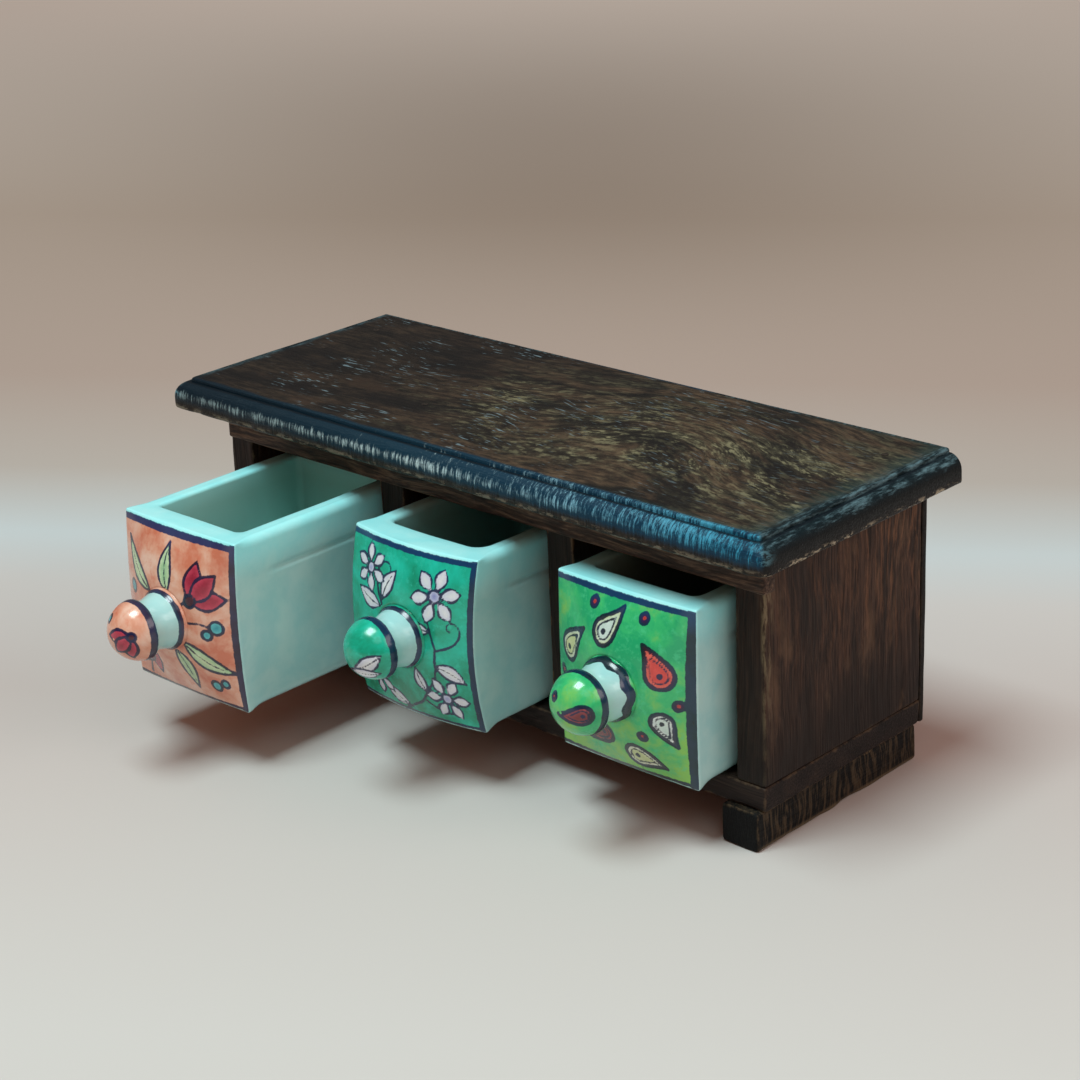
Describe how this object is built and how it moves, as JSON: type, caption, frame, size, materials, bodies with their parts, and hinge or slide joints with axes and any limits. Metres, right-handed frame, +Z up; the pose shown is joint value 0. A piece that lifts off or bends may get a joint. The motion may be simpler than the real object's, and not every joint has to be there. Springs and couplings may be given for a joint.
{
  "type": "drawer chest",
  "caption": "Small tabletop wooden chest with a moulded top, strip feet and a row of glazed ceramic drawers with crowned fronts and domed knobs that slide out to hold small things.",
  "frame": {"origin": "on the floor, below the middle of the whole chest's box as it stands with its drawers drawn as at rest", "axes": "+X to the viewer's right along the row of drawers, +Y from the fronts to the back panel, +Z up; the drawers slide out along -Y"},
  "size_m": [0.29, 0.1962, 0.12],
  "materials": {
    "waxed_top": "dark brown stain with an olive grain, edges rubbed with blue-green paint, waxed",
    "brown_wood": "warm brown stain over vertical grain, worn pale at the corners, waxed",
    "dark_wood": "dark brown stain, satin wax",
    "foot_wood": "rough sawn, dark streaks, worn pale along the lower edge",
    "glazed_ceramic": "pale aqua-white gloss glaze, fronts painted in washes of colour under the glaze",
    "brad_steel": "darkened by stain and wax"
  },
  "bodies": {
    "cabinet": {"base_board": "dark_wood", "foot_left": "foot_wood", "foot_right": "foot_wood", "side_panel_left": "brown_wood", "side_panel_right": "brown_wood", "partition_left": "dark_wood", "partition_right": "dark_wood", "front_rail": "brown_wood", "back_panel": "dark_wood", "top_board": "waxed_top", "top_nails": "brad_steel", "base_nails": "brad_steel", "foot_nails": "brad_steel", "back_nails": "brad_steel", "rail_nails": "brad_steel"},
    "drawer_left": {"drawer_left": "glazed_ceramic"},
    "drawer_middle": {"drawer_middle": "glazed_ceramic"},
    "drawer_right": {"drawer_right": "glazed_ceramic"}
  },
  "joints": [
    {"name": "slide_left", "type": "slide", "parent": "cabinet", "child": "drawer_left", "axis": [0, -1, 0], "range_m": [-0.072, 0.003]},
    {"name": "slide_middle", "type": "slide", "parent": "cabinet", "child": "drawer_middle", "axis": [0, -1, 0], "range_m": [-0.0303, 0.0447]},
    {"name": "slide_right", "type": "slide", "parent": "cabinet", "child": "drawer_right", "axis": [0, -1, 0], "range_m": [-0.0184, 0.0566]}
  ]
}
